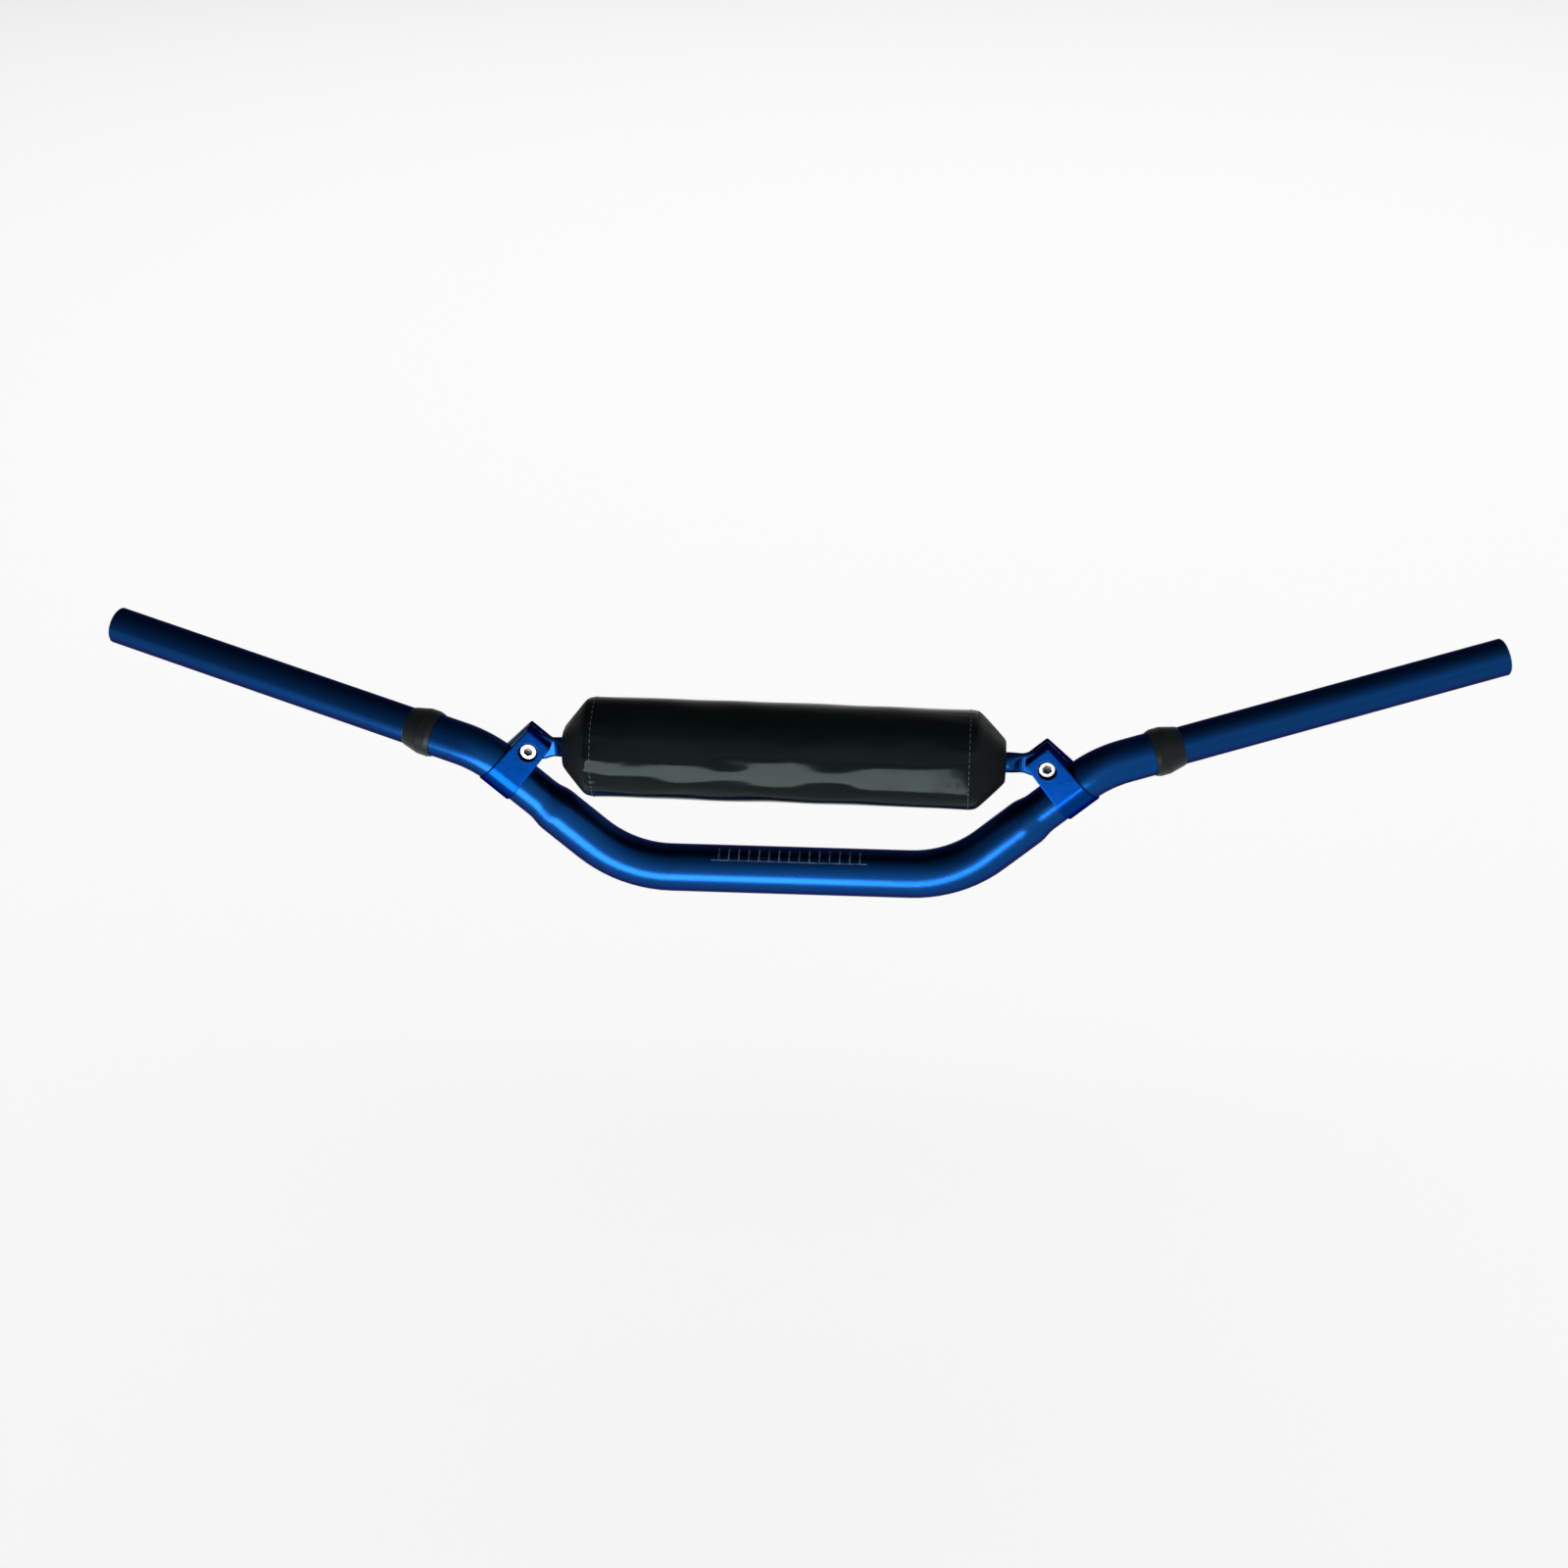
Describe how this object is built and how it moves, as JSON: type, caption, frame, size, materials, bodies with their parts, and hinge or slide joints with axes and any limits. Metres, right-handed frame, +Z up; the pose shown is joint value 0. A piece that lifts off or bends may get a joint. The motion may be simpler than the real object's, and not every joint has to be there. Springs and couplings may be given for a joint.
{
  "type": "motocross handlebar",
  "caption": "Twin-wall motocross handlebar: a bent centre tube over full-length grip tubing, with tapered collars and a clamped crossbar carrying a soft pad.",
  "frame": {"origin": "on the tube axis at the middle of the straight centre section that the fork clamps hold", "axes": "+X along the bar towards the right grip as the picture shows it, +Y rearwards (the way the grips sweep back), +Z up in the plane of the two risers"},
  "size_m": [0.837, 0.0943, 0.15],
  "materials": {
    "blue_anodised": "satin anodised",
    "collar_black": "satin moulded nylon",
    "plated_steel": "bright zinc plate",
    "pad_vinyl": "glossy coated vinyl",
    "foam": "open-cell foam",
    "hook_and_loop": "woven nylon tape"
  },
  "bodies": {
    "root": {"outer_tube": "blue_anodised", "inner_tube": "blue_anodised", "crossbar": "blue_anodised", "crossbar_clamp_left": "blue_anodised", "crossbar_clamp_right": "blue_anodised", "end_collar_left": "collar_black", "end_collar_right": "collar_black", "clamp_bolt_left": "plated_steel", "clamp_bolt_right": "plated_steel", "clamp_nut_left": "plated_steel", "clamp_nut_right": "plated_steel", "pad_cover": "pad_vinyl", "pad_end_left": "pad_vinyl", "pad_end_right": "pad_vinyl", "pad_foam": "foam", "pad_hook_strip": "hook_and_loop", "pad_loop_strip": "hook_and_loop"}
  },
  "joints": []
}
